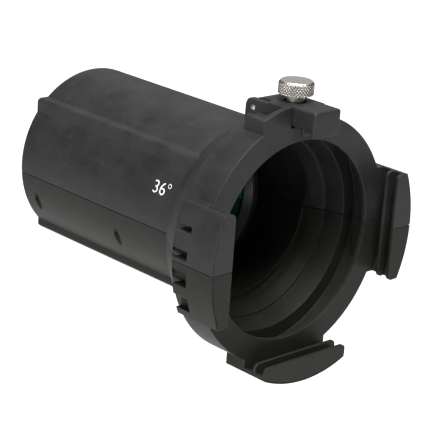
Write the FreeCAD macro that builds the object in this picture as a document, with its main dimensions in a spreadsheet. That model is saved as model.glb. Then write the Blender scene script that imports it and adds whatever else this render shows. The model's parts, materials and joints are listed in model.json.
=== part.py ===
import FreeCAD, Part
import os
import Sketcher
from FreeCAD import Placement, Rotation, Vector

# Lens tube of an ellipsoidal spotlight, in millimetres.
# The optical axis is the Y axis: light leaves towards -Y, and the tube slides into the spotlight
# towards +Y. The origin is the centre of the ring's front face, where the first accessory frame
# rests. +Z is up, and the two moulded shells part on the plane z = 0.

SIZES = [
    # ring, collar and tube
    ("ring_radius", 50.0, "outside of the ring"),
    ("bore_radius", 40.3, "mouth of the ring"),
    ("ring_depth", 15.0, "straight length of the ring"),
    ("collar_end", 30.0, "where the collar's cone meets the tube"),
    ("collar_radius", 39.6, "small end of the collar's cone"),
    ("tube_radius", 37.15, "outside of the tube"),
    ("tube_rise", 2.9, "tube axis above the optical axis"),
    ("tube_end", 125.0, "rear end of the tube"),
    ("wall", 2.65, "moulded wall of the tube"),
    ("rail_upper_x", 29.9, "outer side of an upper guide rail"),
    ("rail_upper_z", 30.8, "top of an upper guide rail"),
    ("rail_lower_x", 27.3, "outer side of a lower guide rail"),
    ("rail_lower_z", 26.4, "depth of a lower guide rail below the axis"),
    ("rail_size", 8.0, "side of a guide rail's square section"),
    ("rail_bevel", 1.1, "bevel along a guide rail's corner"),
    # inside of the ring, from the mouth to the tube
    ("lip_depth", 2.0, "thickness of the lip at the mouth"),
    ("recess_radius", 46.8, "recess behind the lip"),
    ("recess_end", 12.0, "end of the recess"),
    ("recess_block_side", 43.4, "flat face of the blocks at the sides of the recess"),
    ("recess_block_half", 20.0, "half the height of those blocks"),
    ("recess_block_end", 8.8, "rear end of those blocks"),
    ("recess_block_top", 40.8, "lower face of the block that carries the screw's insert"),
    ("recess_block_wide", 9.0, "half the width of that block"),
    ("recess_block_reach", 48.0, "outside of the recess's blocks, inside the ring's wall"),
    ("cone_radius", 40.7, "large end of the inner cone"),
    ("step_radius", 38.5, "small end of the inner cone"),
    ("step_depth", 20.5, "depth of the small end"),
    ("throat_radius", 35.5, "opening into the tube"),
    ("throat_depth", 25.5, "depth of that opening"),
    ("throat_mouth", 37.5, "large end of the cone in front of that opening"),
    ("throat_back", 34.5, "opening behind it"),
    ("throat_end", 29.0, "rear end of that opening"),
    ("tube_inside_start", 27.0, "front end of the tube's bore"),
    ("collar_root", 32.3, "inner side of the collar, inside the tube's wall"),
    # accessory holders
    ("holder_radius", 54.5, "outside of a holder"),
    ("slot_radius", 53.0, "floor of the accessory slots"),
    ("holder_chord", 44.5, "inner edge of a holder's plates, from the axis"),
    ("holder_angle", 64.0, "angle of the sector that a holder is cut from"),
    ("holder_half", 22.2, "flat ends of a holder, from its middle"),
    ("holder_back", 10.0, "rear end of a holder"),
    ("slot_one", 5.0, "end of the first slot, in front of the ring"),
    ("mid_wall", 1.2, "plate between the two slots"),
    ("slot_two", 10.4, "end of the second slot"),
    ("holder_front", 11.75, "front face of the holders"),
    ("plate_round", 1.9, "rounding of the plates' inner corners"),
    ("holder_root", 47.0, "inner side of the holders' backs"),
    ("chord_reach", 40.0, "half the length of a straight plate edge"),
    ("groove_inner", 53.75, "inner side of the groove along a front plate's edge"),
    ("groove_outer", 54.2, "outer side of that groove"),
    ("groove_depth", 0.35, "depth of that groove"),
    ("core_front", 2.2, "front end of the coring pockets"),
    ("core_floor", 48.6, "floor of the coring pockets, from the axis"),
    # latch, hinge and boss
    ("latch_half", 7.05, "half the width of the latch"),
    ("latch_top", 54.6, "top of the latch"),
    ("cheek_top", 53.5, "top of the hinge cheeks and of the latch's arm"),
    ("latch_under", 47.0, "underside of the latch"),
    ("latch_rib", 44.6, "lower edge of the latch's ribs"),
    ("latch_back", 14.3, "rear end of the latch's thick part"),
    ("latch_tail_under", 48.2, "underside of the arm that carries the knuckle"),
    ("latch_round", 1.1, "rounding of the latch's edges"),
    ("channel_floor", 46.0, "floor of the channel under the latch"),
    ("cheek_gap", 0.3, "gap between latch and cheek"),
    ("cheek_wall", 2.7, "thickness of a hinge cheek"),
    ("hinge_y", 18.3, "hinge pin behind the ring's face"),
    ("hinge_z", 50.2, "hinge pin above the axis"),
    ("knuckle_radius", 3.3, "knuckle of the latch"),
    ("cheek_radius", 3.9, "rounded end of a cheek"),
    ("pin_radius", 1.25, "hinge pin"),
    ("pin_proud", 0.2, "how far the pin stands out of each cheek"),
    ("running_gap", 0.05, "radial clearance of a running fit"),
    ("pad_half", 6.0, "half the length of a latch pad"),
    ("pad_thick", 0.8, "thickness of a latch pad"),
    ("pad_gap", 0.4, "gap between a latch pad and the plates beside it"),
    ("boss_radius", 55.0, "outside of the coring box beside the latch"),
    ("boss_half", 21.5, "side of that box, from the middle"),
    ("boss_back", 10.5, "rear end of that box"),
    ("boss_wall", 1.8, "side wall of that box"),
    ("boss_front_wall", 2.4, "front wall of that box"),
    ("boss_root", 43.0, "lower end of the cheeks and the box, inside the ring's wall"),
    ("boss_core", 47.0, "inner side of the cheeks and the box"),
    ("boss_floor", 47.6, "floor of that box"),
    # thumb screw and what belongs to it
    ("thumb_y", 6.0, "thumb screw behind the ring's face"),
    ("head_radius", 7.0, "knurled head"),
    ("head_bottom", 57.35, "lower face of the head"),
    ("head_top", 62.5, "upper face of the head"),
    ("head_bevel", 0.8, "bevel of the head"),
    ("neck_radius", 3.5, "shoulder under the head"),
    ("neck_bottom", 54.3, "lower end of the shoulder"),
    ("stem_radius", 2.0, "threaded stem"),
    ("stem_bottom", 45.1, "tip of the stem, backed off"),
    ("stem_bevel", 0.4, "bevel of the stem's tip"),
    ("stem_hole", 2.3, "hole for the stem in the latch and in the washer"),
    ("seat_radius", 4.4, "recess for the washer"),
    ("seat_floor", 51.0, "floor of that recess"),
    ("washer_thick", 0.8, "washer and captive clip"),
    ("washer_radius", 4.2, "outside of the washer"),
    ("clip_radius", 3.6, "captive clip"),
    ("clip_top", 49.4, "top of the captive clip"),
    ("clip_roof", 49.6, "roof of the clip's space in the latch"),
    ("clip_space", 4.4, "radius of the clip's space"),
    ("clip_pit", 4.8, "radius of the pit below that space"),
    ("insert_top", 44.8, "top of the thumb screw's threaded insert"),
    ("insert_bottom", 41.3, "bottom of that insert"),
    ("insert_radius", 2.9, "outside of that insert"),
    # lens cell
    ("cell_front", 50.0, "front end of the lens cell"),
    ("cell_back", 96.0, "rear end of the lens cell"),
    ("cell_radius", 30.0, "outside of the lens cell"),
    ("cell_bevel", 0.8, "bevel of the cell's front end"),
    ("flange_radius", 31.2, "locating flanges of the cell"),
    ("flange_thick", 2.2, "thickness of a locating flange"),
    ("rib_front", 60.0, "front face of the shells' locating rib"),
    ("rib_thick", 3.0, "thickness of the locating rib"),
    ("rib_gap", 0.3, "space between the rib and a flange"),
    ("fit_gap", 0.1, "clearance of a piece held still in the shells"),
    ("lens_radius", 28.0, "both lenses"),
    ("lens_edge", 3.0, "edge thickness of a lens"),
    ("lens_crown", 7.0, "height of a lens's curved face"),
    ("front_lens_face", 55.0, "flat face of the front lens"),
    ("rear_lens_face", 92.0, "flat face of the rear lens"),
    ("cell_bore", 28.2, "bore of the lens cell"),
    ("seat_bore", 25.8, "opening in the cell's rear lip"),
    ("lip_front", 93.0, "front face of the cell's rear lip"),
    ("bezel_bore", 23.9, "opening of the front retaining ring"),
    ("bezel_rim", 27.0, "wide end of that ring's cone"),
    ("bezel_inset", 0.2, "how far that ring sits inside the cell"),
    ("bezel_land", 0.8, "straight length of its opening"),
    ("bezel_depth", 4.0, "rear face of that ring, from the cell's front end"),
    ("cushion_bore", 25.0, "opening of the front silicone ring"),
    ("rear_cushion_bore", 26.0, "opening of the rear silicone ring"),
    ("spacer_bore", 26.8, "inside of the spacer tube"),
    ("spacer_land", 0.65, "from a lens's edge to the spacer, which meets its curved face"),
    ("baffle_front", 103.0, "front face of the rear light baffle"),
    ("baffle_thick", 1.2, "thickness of the baffle"),
    ("baffle_bore", 26.5, "opening of the baffle"),
    ("ledge_wall", 2.0, "ledge that the baffle rests on"),
    ("ledge_bore", 31.0, "opening of that ledge"),
    ("baffle_screw_x", 12.0, "baffle screws beside the axis"),
    ("baffle_screw_z", 32.5, "baffle screws above the axis"),
    ("baffle_screw_radius", 0.8, "shank of a baffle screw"),
    ("baffle_slip", 0.9, "screw hole in the baffle"),
    ("baffle_head_radius", 1.5, "head of a baffle screw"),
    ("baffle_head", 1.1, "height of that head"),
    # shell screws
    ("screw_x", 34.0, "tube screws beside the axis"),
    ("screw_y1", 64.5, "front pair of tube screws"),
    ("screw_y2", 116.5, "rear pair of tube screws"),
    ("screw_ring_x", 46.0, "ring screws beside the axis"),
    ("screw_ring_y", 7.5, "ring screws behind the ring's face"),
    ("screw_seat", 7.6, "screw head's seat below the parting plane"),
    ("screw_head_radius", 1.6, "screw head"),
    ("screw_head", 1.5, "height of the screw head"),
    ("screw_well", 1.8, "well that the screw head sits in"),
    ("screw_radius", 1.0, "screw shank"),
    ("shank_gap", 0.2, "clearance of the shank in the lower shell"),
    ("thread_gap", 0.02, "clearance of the shank in its insert"),
    ("drive_half", 0.9, "half the length of the screw head's slot"),
    ("drive_width", 0.4, "width of that slot"),
    ("drive_depth", 0.6, "depth of that slot"),
    ("screw_tip", 5.6, "screw tip above the parting plane"),
    ("nut_radius", 1.7, "threaded insert of a shell screw"),
    ("nut_top", 6.4, "top of that insert"),
    ("nut_bottom", 0.6, "bottom of that insert"),
    ("pillar_radius", 2.7, "screw pillar"),
    ("pillar_top", 9.0, "height of a screw pillar"),
    ("pillar_bottom", 13.0, "depth of a screw pillar below the parting plane"),
    # groove along the parting plane
    ("seam_gap", 0.3, "height of the parting groove, all of it in the lower shell"),
    ("seam_inset", 0.8, "depth of that groove from a face of the casing"),
    ("seam_edge", 0.2, "half the width of the land inside a plate"),
]

doc = FreeCAD.newDocument("LensTube")
sheet = doc.addObject("Spreadsheet::Sheet", "Sizes")
for row, (alias, value, note) in enumerate(SIZES, start=1):
    sheet.set(f"A{row}", alias)
    sheet.set(f"B{row}", str(value))
    sheet.set(f"C{row}", note)
    sheet.setAlias(f"B{row}", alias)
doc.recompute()
ALIASES = [alias for alias, _, _ in SIZES]

CLEAR = 5.0       # how far a large cutting solid runs past the wall that it cuts
PAST = 1.0        # how far a small cutting solid runs past a face
MERGE = 0.5       # how far two joined solids run into each other
NEAR = 0.01       # two places closer than this are the same place
HALF_SPACE = 200.0    # size of the halves that part the casing
ALONG_X = Rotation(Vector(0, 1, 0), 90)
ALONG_Y = Rotation(Vector(1, 0, 0), -90)
CORING = [(11.6, 14.4), (1.2, 5.2), (-9.3, -3.2), (-19.4, -13.6)]    # side pockets, in height
PARTS = []        # the finished sub-parts, each of which becomes a file


def linked(text):
    """Turn the size names in an expression into references to the sheet."""
    words = []
    word = ""
    for letter in text + " ":
        if letter.isalnum() or letter in "_.":
            word += letter
        else:
            words.append("Sizes." + word if word in ALIASES else word)
            words.append(letter)
            word = ""
    return "".join(words).strip()


def bind(feature, **expressions):
    """Bind properties of a feature to the sheet; x, y and z are its position."""
    for name, text in expressions.items():
        path = f"Placement.Base.{name}" if name in ("x", "y", "z") else name
        feature.setExpression(path, linked(text))
    return feature


def measure(text):
    """Value of an expression on the sheet, in millimetres."""
    return float(sheet.evalExpression(linked(text).replace("Sizes.", "")))


def rod_y(name, radius, start, end, rise="0"):
    """Cylinder along Y between two places, on an axis raised by rise."""
    rod = doc.addObject("Part::Cylinder", name)
    rod.Placement = Placement(Vector(), ALONG_Y)
    return bind(rod, Radius=radius, Height=f"({end}) - ({start})", y=start, z=rise)


def post(name, radius, x, y, bottom, top):
    """Upright cylinder."""
    solid = doc.addObject("Part::Cylinder", name)
    return bind(solid, Radius=radius, Height=f"({top}) - ({bottom})", x=x, y=y, z=bottom)


def block(name, x_span, y_span, z_span):
    """Box between three pairs of places."""
    box = doc.addObject("Part::Box", name)
    (x0, x1), (y0, y1), (z0, z1) = x_span, y_span, z_span
    bind(box, Length=f"({x1}) - ({x0})", Width=f"({y1}) - ({y0})", Height=f"({z1}) - ({z0})")
    return bind(box, x=x0, y=y0, z=z0)


def join(name, solids):
    """Fuse solids into one."""
    fused = doc.addObject("Part::MultiFuse", name)
    fused.Shapes = solids
    return fused


def overlap(name, solids):
    """What all the solids share."""
    common = doc.addObject("Part::MultiCommon", name)
    common.Shapes = solids
    return common


def cut(name, base, tools):
    """Take the tools away from the base."""
    removed = doc.addObject("Part::Cut", name)
    removed.Base = base
    removed.Tool = tools[0] if len(tools) == 1 else join(name + "_tools", tools)
    return removed


def outline(sketch, corners):
    """Draw a closed outline whose corners are pairs of size expressions."""
    places = [Vector(measure(u), measure(v), 0) for u, v in corners]
    lines = [Part.LineSegment(a, b) for a, b in zip(places, places[1:] + places[:1])]
    first = sketch.addGeometry(lines, False)[0]
    count = len(corners)
    for i, (u, v) in enumerate(corners):
        line = first + i
        sketch.addConstraint(Sketcher.Constraint("Coincident", line, 2, first + (i + 1) % count, 1))
        for axis, text, value in (("DistanceX", u, places[i].x), ("DistanceY", v, places[i].y)):
            index = sketch.addConstraint(Sketcher.Constraint(axis, -1, 1, line, 1, value))
            sketch.setExpression(f"Constraints[{index}]", linked(text))


def sketch_on(body, role, name, shift=None):
    """New sketch on one of the body's own origin planes."""
    plane = next(item for item in body.Origin.OriginFeatures if item.Role == role)
    sketch = body.newObject("Sketcher::SketchObject", name)
    sketch.AttachmentSupport = [(plane, "")]
    sketch.MapMode = "FlatFace"
    if shift:
        sketch.setExpression("AttachmentOffset.Base.x", linked(shift))
    return sketch


def turned(label, axis, corners, shift=None):
    """Body of revolution: corners are (y, radius) about H_Axis, or (radius, z) about V_Axis."""
    body = doc.addObject("PartDesign::Body", label)
    sketch = sketch_on(body, "YZ_Plane", label + "_outline", shift)
    outline(sketch, corners)
    turn = body.newObject("PartDesign::Revolution", label + "_turn")
    turn.Profile = sketch
    turn.ReferenceAxis = (sketch, [axis])
    turn.Angle = 360
    sketch.Visibility = False
    return body


def ring_y(label, bore, radius, front, back):
    """Plain ring about the optical axis."""
    return turned(label, "H_Axis", [(front, bore), (front, radius), (back, radius), (back, bore)])


def keep(feature, label):
    """Take a feature as a finished sub-part."""
    feature.Label = label
    PARTS.append(feature)
    return feature


def rounded(name, base, radius, wanted):
    """Fillet the edges of base whose middle point passes the test."""
    doc.recompute()
    fillet = doc.addObject("Part::Fillet", name)
    fillet.Base = base
    edges = [i for i, edge in enumerate(base.Shape.Edges, start=1)
             if wanted(edge, edge.valueAt((edge.FirstParameter + edge.LastParameter) / 2))]
    fillet.Edges = [(i, measure(radius), measure(radius)) for i in edges]
    return fillet


# ---- casing: ring, collar, tube and rails, before it is parted ------------------------------

def collar():
    """Ring, and the cone that joins it to the tube."""
    return turned("collar", "H_Axis", [("0", "collar_root"), ("0", "ring_radius"),
                                       ("ring_depth", "ring_radius"), ("collar_end", "collar_radius"),
                                       ("collar_end", "collar_root")])


def rail(name, x, z, x_side, z_side):
    """Square guide rail along the tube, with a bevelled outer corner."""
    near_x, near_z = (f"{side} * ({value} - rail_size)" for side, value in ((x_side, x), (z_side, z)))
    far_x, far_z = f"{x_side} * {x}", f"{z_side} * {z}"
    x_span = (near_x, far_x) if x_side > 0 else (far_x, near_x)
    z_span = (near_z, far_z) if z_side > 0 else (far_z, near_z)
    bar = block(name + "_bar", x_span, ("ring_depth", "tube_end"), z_span)
    corner_x, corner_z = measure(far_x), measure(far_z)
    bevel = doc.addObject("Part::Chamfer", name)
    bevel.Base = bar
    doc.recompute()
    bevel.Edges = [(i, measure("rail_bevel"), measure("rail_bevel"))
                   for i, edge in enumerate(bar.Shape.Edges, start=1)
                   if abs(edge.CenterOfMass.x - corner_x) < NEAR
                   and abs(edge.CenterOfMass.z - corner_z) < NEAR]
    return bevel


def rails():
    """Four guide rails along the tube."""
    return [rail("rail_upper_left", "rail_upper_x", "rail_upper_z", -1, 1),
            rail("rail_upper_right", "rail_upper_x", "rail_upper_z", 1, 1),
            rail("rail_lower_left", "rail_lower_x", "rail_lower_z", -1, -1),
            rail("rail_lower_right", "rail_lower_x", "rail_lower_z", 1, -1)]


def holder(name, middle, chord_box, limit):
    """Accessory holder: a flat-ended sector with two slots, whose plates end on a straight chord."""
    sector = doc.addObject("Part::Cylinder", name + "_sector")
    sector.setExpression("Angle", linked("holder_angle"))
    half = measure("holder_angle") / 2
    sector.Placement = Placement(Vector(), ALONG_Y.multiply(Rotation(Vector(0, 0, 1), middle - half)))
    bind(sector, Radius="holder_radius", Height="holder_front + holder_back", y="0 - holder_front")
    slots = [rod_y(name + "_slot_one", "slot_radius", "0 - slot_one", "0"),
             rod_y(name + "_slot_two", "slot_radius", "0 - slot_two", "0 - slot_one - mid_wall")]
    arcs = cut(name + "_arcs", sector, slots)
    plates = overlap(name + "_plates", [
        join(name + "_fill", [rod_y(name + "_plate_mid", f"slot_radius + {MERGE}",
                                    "0 - slot_one - mid_wall", "0 - slot_one"),
                              rod_y(name + "_plate_front", f"slot_radius + {MERGE}",
                                    "0 - holder_front", "0 - slot_two")]), sector])
    whole = overlap(name + "_whole", [join(name + "_parts", [arcs, plates]), limit])
    open_side = cut(name + "_open", whole, [chord_box])
    thickest = measure("holder_front - slot_two") + MERGE
    floor = measure("slot_radius") - PAST

    def inner_corner(edge, middle_point):
        along = abs(edge.tangentAt(edge.FirstParameter).y) > 1 - NEAR
        radius = (middle_point.x ** 2 + middle_point.z ** 2) ** 0.5
        return along and edge.Length < thickest and middle_point.y < -PAST and radius < floor

    return rounded(name, open_side, "plate_round", inner_corner)


def coring(side):
    """Pockets in the rear of a side holder, with ribs between them."""
    x_span = ("core_floor", f"holder_radius + {CLEAR}")
    if side < 0:
        x_span = (f"0 - holder_radius - {CLEAR}", "0 - core_floor")
    return [block(f"coring_{'right' if side > 0 else 'left'}_{i}", x_span,
                  ("core_front", f"holder_back + {CLEAR}"), (str(low), str(high)))
            for i, (low, high) in enumerate(CORING)]


def cheek(name, near, far):
    """Hinge cheek: an upright wall along the latch, rounded about the pin."""
    wall = block(name + "_wall", (near, far), ("0", "hinge_y"), ("boss_root", "cheek_top"))
    foot = block(name + "_foot", (near, far), ("hinge_y", "hinge_y + cheek_radius"),
                 ("boss_root", "hinge_z"))
    eye = doc.addObject("Part::Cylinder", name + "_eye")
    eye.Placement = Placement(Vector(), ALONG_X)
    bind(eye, Radius="cheek_radius", Height="cheek_wall", x=near, y="hinge_y", z="hinge_z")
    top = block(name + "_limit", (near, far), ("0", "hinge_y + cheek_radius"),
                ("boss_root", "cheek_top"))
    return overlap(name, [join(name + "_all", [wall, foot, eye]), top])


def coring_box():
    """Arched box on the left of the latch, open at the top and the rear."""
    arch = overlap("box_arch", [rod_y("box_round", "boss_radius", "0", "boss_back"),
                                block("box_limit", ("0 - boss_half", "0 - latch_half - cheek_gap"),
                                      ("0", "boss_back"), ("boss_root", "boss_radius"))])
    hollow = block("box_hollow", ("boss_wall - boss_half", "0 - latch_half - cheek_gap - cheek_wall"),
                   ("boss_front_wall", f"boss_back + {CLEAR}"), ("boss_floor", f"boss_radius + {CLEAR}"))
    return cut("coring_box", arch, [hollow])


def pillars():
    """Screw pillars inside the tube, clipped to its outside."""
    posts = [post(f"pillar_{i}", "pillar_radius", x, y, "0 - pillar_bottom", "pillar_top")
             for i, (x, y) in enumerate(((x, y) for y in ("screw_y1", "screw_y2")
                                         for x in ("0 - screw_x", "screw_x")))]
    return overlap("pillars", [join("pillar_posts", posts),
                               rod_y("pillar_limit", "tube_radius", "ring_depth", "tube_end", "tube_rise")])


def ring_cavity():
    """Inside of the ring: lip, recess, cone and the throat into the tube."""
    return turned("ring_cavity", "H_Axis", [
        (f"0 - {PAST}", "0"), (f"0 - {PAST}", "bore_radius"), ("lip_depth", "bore_radius"),
        ("lip_depth", "recess_radius"), ("recess_end", "recess_radius"), ("recess_end", "cone_radius"),
        ("step_depth", "step_radius"), ("step_depth", "throat_mouth"),
        ("throat_depth", "throat_radius"), ("throat_end", "throat_back"), ("throat_end", "0")])


def recess_blocks():
    """Flat-faced blocks in the recess: for the ring's screws, and for the thumb screw's insert."""
    start = f"lip_depth - {MERGE}"
    side = block("recess_sides", ("0 - recess_block_reach", "recess_block_reach"),
                 (start, "recess_block_end"), ("0 - recess_block_half", "recess_block_half"))
    between = block("between_sides", ("0 - recess_block_side", "recess_block_side"),
                    (f"lip_depth - {PAST}", f"recess_block_end + {PAST}"),
                    ("0 - ring_radius", "ring_radius"))
    top = block("recess_top", ("0 - recess_block_wide", "recess_block_wide"),
                (start, f"recess_end + {MERGE}"), ("recess_block_top", "recess_block_reach"))
    return overlap("recess_blocks", [
        join("recess_solids", [cut("recess_pair", side, [between]), top]),
        rod_y("recess_limit", "recess_block_reach", "0", f"recess_end + {PAST}")])


def ledges():
    """Ribs inside the tube: one locates the lens cell, one carries the light baffle."""
    edge = f"tube_radius - wall + {MERGE}"
    locating = cut("locating_rib", rod_y("locating_disc", edge, "rib_front", "rib_front + rib_thick",
                                         "tube_rise"),
                   [rod_y("locating_hole", "cell_radius + fit_gap", f"rib_front - {PAST}",
                          f"rib_front + rib_thick + {PAST}")])
    ledge = cut("baffle_ledge", rod_y("ledge_disc", edge, "baffle_front - ledge_wall", "baffle_front",
                                      "tube_rise"),
                [rod_y("ledge_hole", "ledge_bore", f"baffle_front - ledge_wall - {PAST}",
                       f"baffle_front + {PAST}")])
    return [locating, ledge]


SCREWS = [(f"{side} * {x}", y) for x, y in (("screw_x", "screw_y1"), ("screw_x", "screw_y2"),
                                           ("screw_ring_x", "screw_ring_y")) for side in (-1, 1)]


def screw_holes():
    """Wells, shank holes and insert holes of the six shell screws."""
    holes = []
    for i, (x, y) in enumerate(SCREWS):
        holes.append(post(f"well_{i}", "screw_well", x, y, "0 - ring_radius", "0 - screw_seat"))
        holes.append(post(f"shank_hole_{i}", "screw_radius + shank_gap", x, y,
                          f"0 - screw_seat - {PAST}", f"{PAST}"))
        holes.append(post(f"nut_hole_{i}", "nut_radius", x, y, f"0 - {NEAR}", "nut_top"))
    return holes


def casing():
    """Whole casing, before it is parted at z = 0."""
    tube = rod_y("tube_outside", "tube_radius", "ring_depth", "tube_end", "tube_rise")
    hollow = rod_y("tube_inside", "tube_radius - wall", "tube_inside_start",
                   f"tube_end + {CLEAR}", "tube_rise")
    shell = cut("empty_casing", join("solid_casing", [collar(), tube] + rails()), [hollow, ring_cavity()])
    reach = ("0 - chord_reach", "chord_reach")
    ahead = ("0 - chord_reach", "0")
    side_box = block("side_chord", ("0 - holder_chord", "holder_chord"), ahead, reach)
    low_box = block("low_chord", reach, ahead, ("0 - holder_chord", "chord_reach"))
    inner = rod_y("holder_core", "holder_root", "0", f"holder_back + {CLEAR}")
    ends = ("0 - holder_half", "holder_half")
    wide = (f"0 - holder_radius - {CLEAR}", f"holder_radius + {CLEAR}")
    side_limit = block("side_ends", wide, wide, ends)
    low_limit = block("low_ends", ends, wide, wide)
    holders = [holder("holder_left", 180, side_box, side_limit),
               holder("holder_right", 0, side_box, side_limit),
               holder("holder_bottom", 90, low_box, low_limit)]
    trimmed = [cut(each.Name + "_trim", each, [inner]) for each in holders]
    near = "latch_half + cheek_gap"
    bosses = [cheek("cheek_right", near, near + " + cheek_wall"),
              cheek("cheek_left", f"0 - ({near}) - cheek_wall", f"0 - ({near})"), coring_box()]
    cored = cut("cored_bosses", join("bosses", bosses + trimmed), [
        rod_y("boss_bore", "boss_core", f"0 - {NEAR}", "recess_end"),
        ring_y("edge_groove", "groove_inner", "groove_outer", f"0 - holder_front - {PAST}",
               "groove_depth - holder_front")])
    return join("full_casing", [shell, cored, recess_blocks(), pillars()] + ledges())


def parting_groove():
    """Slab under the parting plane, without the lands on which the shells meet."""
    middle, front = "0 - slot_one - mid_wall / 2", "0 - (slot_two + holder_front) / 2"
    outer, inner = "slot_radius + seam_edge * 2", "holder_chord + seam_inset"
    land = turned("seam_land", "H_Axis", [
        ("seam_inset", "recess_block_side + seam_inset"), ("seam_inset", outer),
        (f"{middle} + seam_edge", outer), (f"{middle} + seam_edge", inner),
        (f"{middle} - seam_edge", inner), (f"{middle} - seam_edge", outer),
        (f"{front} + seam_edge", outer), (f"{front} + seam_edge", inner),
        (f"{front} - seam_edge", inner), (f"{front} - seam_edge", "groove_inner + seam_edge"),
        ("holder_back - seam_inset", "groove_inner + seam_edge"),
        ("holder_back - seam_inset", "ring_radius - seam_inset"),
        ("ring_depth - seam_edge", "ring_radius - seam_inset"),
        ("collar_end - 1.5 * seam_inset", "collar_radius - seam_edge"),
        ("collar_end - 1.5 * seam_inset", "tube_radius - seam_inset"),
        ("tube_end - seam_inset", "tube_radius - seam_inset"),
        ("tube_end - seam_inset", "throat_back + seam_inset"),
        ("throat_end - seam_inset", "throat_back + seam_inset"),
        ("throat_depth", "throat_radius + seam_inset"), ("step_depth", "step_radius + seam_inset"),
        ("recess_end + seam_inset", "cone_radius + seam_inset"),
        ("recess_end + seam_inset", "recess_radius + seam_inset"),
        ("recess_block_end - seam_inset", "recess_radius + seam_inset"),
        ("recess_block_end - seam_inset", "recess_block_side + seam_inset")])
    reach = (f"0 - {HALF_SPACE}", f"{HALF_SPACE}")
    return cut("parting_groove", block("seam_slab", reach, reach, ("0 - seam_gap", f"{PAST}")), [land])


def channel():
    """Channel for the latch, pin hole, and the pocket of the thumb screw's insert."""
    half = "latch_half + cheek_gap"
    trough = block("latch_channel", (f"0 - ({half})", half),
                   (f"0 - {PAST}", f"hinge_y + cheek_radius + {PAST}"),
                   ("channel_floor", f"boss_radius + {CLEAR}"))
    pin = doc.addObject("Part::Cylinder", "pin_hole")
    pin.Placement = Placement(Vector(), ALONG_X)
    bind(pin, Radius="pin_radius", Height="2 * boss_half", x="0 - boss_half", y="hinge_y", z="hinge_z")
    return [trough, pin,
            post("pit", "clip_pit", "0", "thumb_y", "insert_top", f"channel_floor + {PAST}"),
            post("insert_pit", "insert_radius", "0", "thumb_y", "insert_bottom", f"insert_top + {PAST}")]


def shells():
    """Part the finished casing into the upper and the lower shell."""
    cutters = channel() + screw_holes() + coring(-1) + coring(1)
    cutters += baffle_rods("baffle_tap", "baffle_screw_radius", f"baffle_front - ledge_wall - {PAST}",
                           f"baffle_front + {PAST}")
    whole = cut("finished_casing", casing(), cutters)
    reach, back = f"{HALF_SPACE}", f"0 - {HALF_SPACE}"
    above = block("above", (back, reach), (back, reach), ("0", reach))
    below = block("below", (back, reach), (back, reach), (back, "0"))
    keep(overlap("upper_half", [whole, above]), "upper_shell")
    lower = cut("lower_half", overlap("lower_whole", [whole, below]), [parting_groove()])
    keep(lower, "lower_shell")


# ---- latch, pin and thumb screw -------------------------------------------------------------

def latch():
    """Hinged latch with two ribs, a knuckle and the thumb screw's seat."""
    body = doc.addObject("PartDesign::Body", "latch_body")
    side = sketch_on(body, "YZ_Plane", "latch_side")
    outline(side, [
        ("0 - holder_front", "latch_rib"), ("0 - slot_two", "latch_rib"), ("0 - slot_two", "latch_under"),
        ("0 - slot_one - mid_wall", "latch_under"), ("0 - slot_one - mid_wall", "latch_rib"),
        ("0 - slot_one", "latch_rib"), ("0 - slot_one", "latch_under"), ("latch_back", "latch_under"),
        ("latch_back", "latch_tail_under"), ("hinge_y", "latch_tail_under"), ("hinge_y", "cheek_top"),
        ("latch_back", "latch_top"), ("0 - holder_front", "latch_top")])
    pad = body.newObject("PartDesign::Pad", "latch_pad")
    pad.Profile = side
    pad.Midplane = True
    bind(pad, Length="2 * latch_half")
    doc.recompute()
    knuckle = sketch_on(body, "YZ_Plane", "knuckle_side")
    circle(knuckle, "hinge_y", "hinge_z", "knuckle_radius")
    knob = body.newObject("PartDesign::Pad", "knuckle_pad")
    knob.Profile = knuckle
    knob.Midplane = True
    bind(knob, Length="2 * latch_half")
    doc.recompute()
    eye = sketch_on(body, "YZ_Plane", "eye_side")
    circle(eye, "hinge_y", "hinge_z", "pin_radius + running_gap")
    bore = body.newObject("PartDesign::Pocket", "eye_bore")
    bore.Profile = eye
    bore.Midplane = True
    bind(bore, Length="3 * latch_half")
    doc.recompute()
    seat = sketch_on(body, "YZ_Plane", "seat_outline", "thumb_y")
    under, over = f"latch_under - {PAST}", f"latch_top + {PAST}"
    outline(seat, [("0", under), ("clip_space", under), ("clip_space", "clip_roof"),
                   ("stem_hole", "clip_roof"), ("stem_hole", "seat_floor"),
                   ("seat_radius", "seat_floor"), ("seat_radius", over), ("0", over)])
    groove = body.newObject("PartDesign::Groove", "seat_groove")
    groove.Profile = seat
    groove.ReferenceAxis = (seat, ["V_Axis"])
    groove.Angle = 360
    doc.recompute()
    top, front, half = measure("latch_top"), -measure("holder_front"), measure("latch_half")
    last_y = measure("latch_back") - PAST
    soft = [f"Edge{i}" for i, edge in enumerate(body.Shape.Edges, start=1)
            if (abs(edge.CenterOfMass.z - top) < NEAR and len(edge.Vertexes) == 2
                and edge.Curve.TypeId == "Part::GeomLine" and edge.CenterOfMass.y < last_y)
            or (abs(edge.CenterOfMass.y - front) < NEAR and abs(abs(edge.CenterOfMass.x) - half) < NEAR)]
    fillet = body.newObject("PartDesign::Fillet", "latch_rounding")
    fillet.Base = (groove, soft)
    bind(fillet, Radius="latch_round")
    keep(body, "retaining_latch")


def circle(sketch, u, v, radius):
    """Circle whose centre and radius are size expressions."""
    centre = Vector(measure(u), measure(v), 0)
    index = sketch.addGeometry(Part.Circle(centre, Vector(0, 0, 1), measure(radius)), False)
    for axis, text, value in (("DistanceX", u, centre.x), ("DistanceY", v, centre.y)):
        number = sketch.addConstraint(Sketcher.Constraint(axis, -1, 1, index, 3, value))
        sketch.setExpression(f"Constraints[{number}]", linked(text))
    number = sketch.addConstraint(Sketcher.Constraint("Radius", index, measure(radius)))
    sketch.setExpression(f"Constraints[{number}]", linked(radius))


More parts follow.
